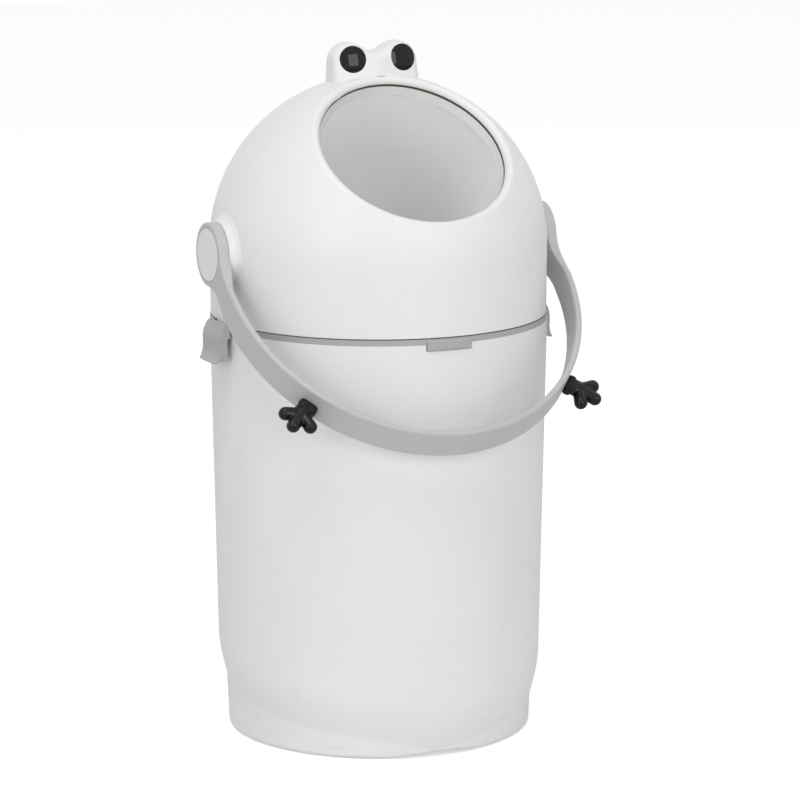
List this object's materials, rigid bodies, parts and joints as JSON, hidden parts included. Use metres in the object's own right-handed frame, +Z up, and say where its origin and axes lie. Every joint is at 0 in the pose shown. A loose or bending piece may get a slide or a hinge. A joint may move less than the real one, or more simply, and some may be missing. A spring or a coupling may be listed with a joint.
{
  "type": "nappy bin",
  "caption": "Tall round nappy bin with a domed lift-off head, a drum turned by its carrying handle, a sliding piston, side latches and a pair of eyes on top.",
  "frame": {"origin": "on the floor under the middle of the bin", "axes": "+Z up, front of the bin (aperture, finger tab and hanging handle) towards -Y, the bin's left and right sides along X"},
  "size_m": [0.308, 0.313, 0.5745],
  "materials": {
    "white_plastic": "fine satin moulding",
    "grey_plastic": "satin moulding",
    "cream_plastic": "satin moulding",
    "tube_plastic": "smooth moulding",
    "handle_plastic": "satin moulding",
    "cap_plastic": "satin moulding",
    "latch_plastic": "satin moulding",
    "bush_plastic": "smooth natural moulding",
    "eye_gloss": "polished",
    "black_rubber": "smooth, slightly shiny",
    "dark_rubber": "matt",
    "brown_rubber": "matt",
    "felt": "felted",
    "steel": "zinc plated"
  },
  "bodies": {
    "bin": {"bin_body": "white_plastic", "foot_pads": "black_rubber"},
    "ring": {"bag_ring": "grey_plastic"},
    "head": {"dome_shell": "white_plastic", "head_seal": "dark_rubber", "drum_cradle": "grey_plastic", "cradle_screws": "steel", "aperture_seal": "brown_rubber", "cradle_seal": "brown_rubber", "pivot_bush_right": "bush_plastic", "pivot_bush_left": "bush_plastic", "latch_pins": "steel", "eye_mount": "white_plastic", "eye_lens_right": "eye_gloss", "eye_lens_left": "eye_gloss", "brow_screws": "steel"},
    "drum": {"drum_half_right": "cream_plastic", "drum_half_left": "cream_plastic", "drum_tube": "tube_plastic", "mouth_ring_upper": "cream_plastic", "mouth_ring_lower": "cream_plastic", "drum_hub_right": "bush_plastic", "drum_hub_left": "bush_plastic", "hub_screws": "steel", "drum_screws": "steel", "handle": "handle_plastic", "handle_screws": "steel", "handle_cap_right": "cap_plastic", "handle_cap_left": "cap_plastic", "hand_right": "black_rubber", "hand_left": "black_rubber"},
    "piston": {"piston_body": "tube_plastic", "piston_cover": "tube_plastic", "piston_ballast": "steel", "piston_seals": "felt"},
    "latch_right_lever": {"latch_right": "latch_plastic"},
    "latch_left_lever": {"latch_left": "latch_plastic"}
  },
  "joints": [
    {"name": "head_lift", "type": "slide", "parent": "bin", "child": "head", "axis": [0, 0, 1], "range_m": [0, 0.06]},
    {"name": "ring_lift", "type": "slide", "parent": "bin", "child": "ring", "axis": [0, 0, 1], "range_m": [0, 0.03]},
    {"name": "drum_turn", "type": "hinge", "parent": "head", "child": "drum", "pos_m": [0, 0, 0.408], "axis": [-1, 0, 0], "range_deg": [0, 180]},
    {"name": "piston_slide", "type": "slide", "parent": "drum", "child": "piston", "axis": [0, -0.6293, 0.7771], "range_m": [0, 0.159]},
    {"name": "latch_right_swing", "type": "hinge", "parent": "head", "child": "latch_right_lever", "pos_m": [0.1409, 0, 0.3489], "axis": [0, -1, 0], "range_deg": [0, 45]},
    {"name": "latch_left_swing", "type": "hinge", "parent": "head", "child": "latch_left_lever", "pos_m": [-0.1409, 0, 0.3489], "axis": [0, 1, 0], "range_deg": [0, 45]}
  ],
  "couplings": [
    {"joint": "ring_lift", "follows": "head_lift", "ratio": 0.5},
    {"joint": "latch_right_swing", "follows": "head_lift", "rad_per_m": 13.08},
    {"joint": "latch_left_swing", "follows": "head_lift", "rad_per_m": 13.08}
  ]
}
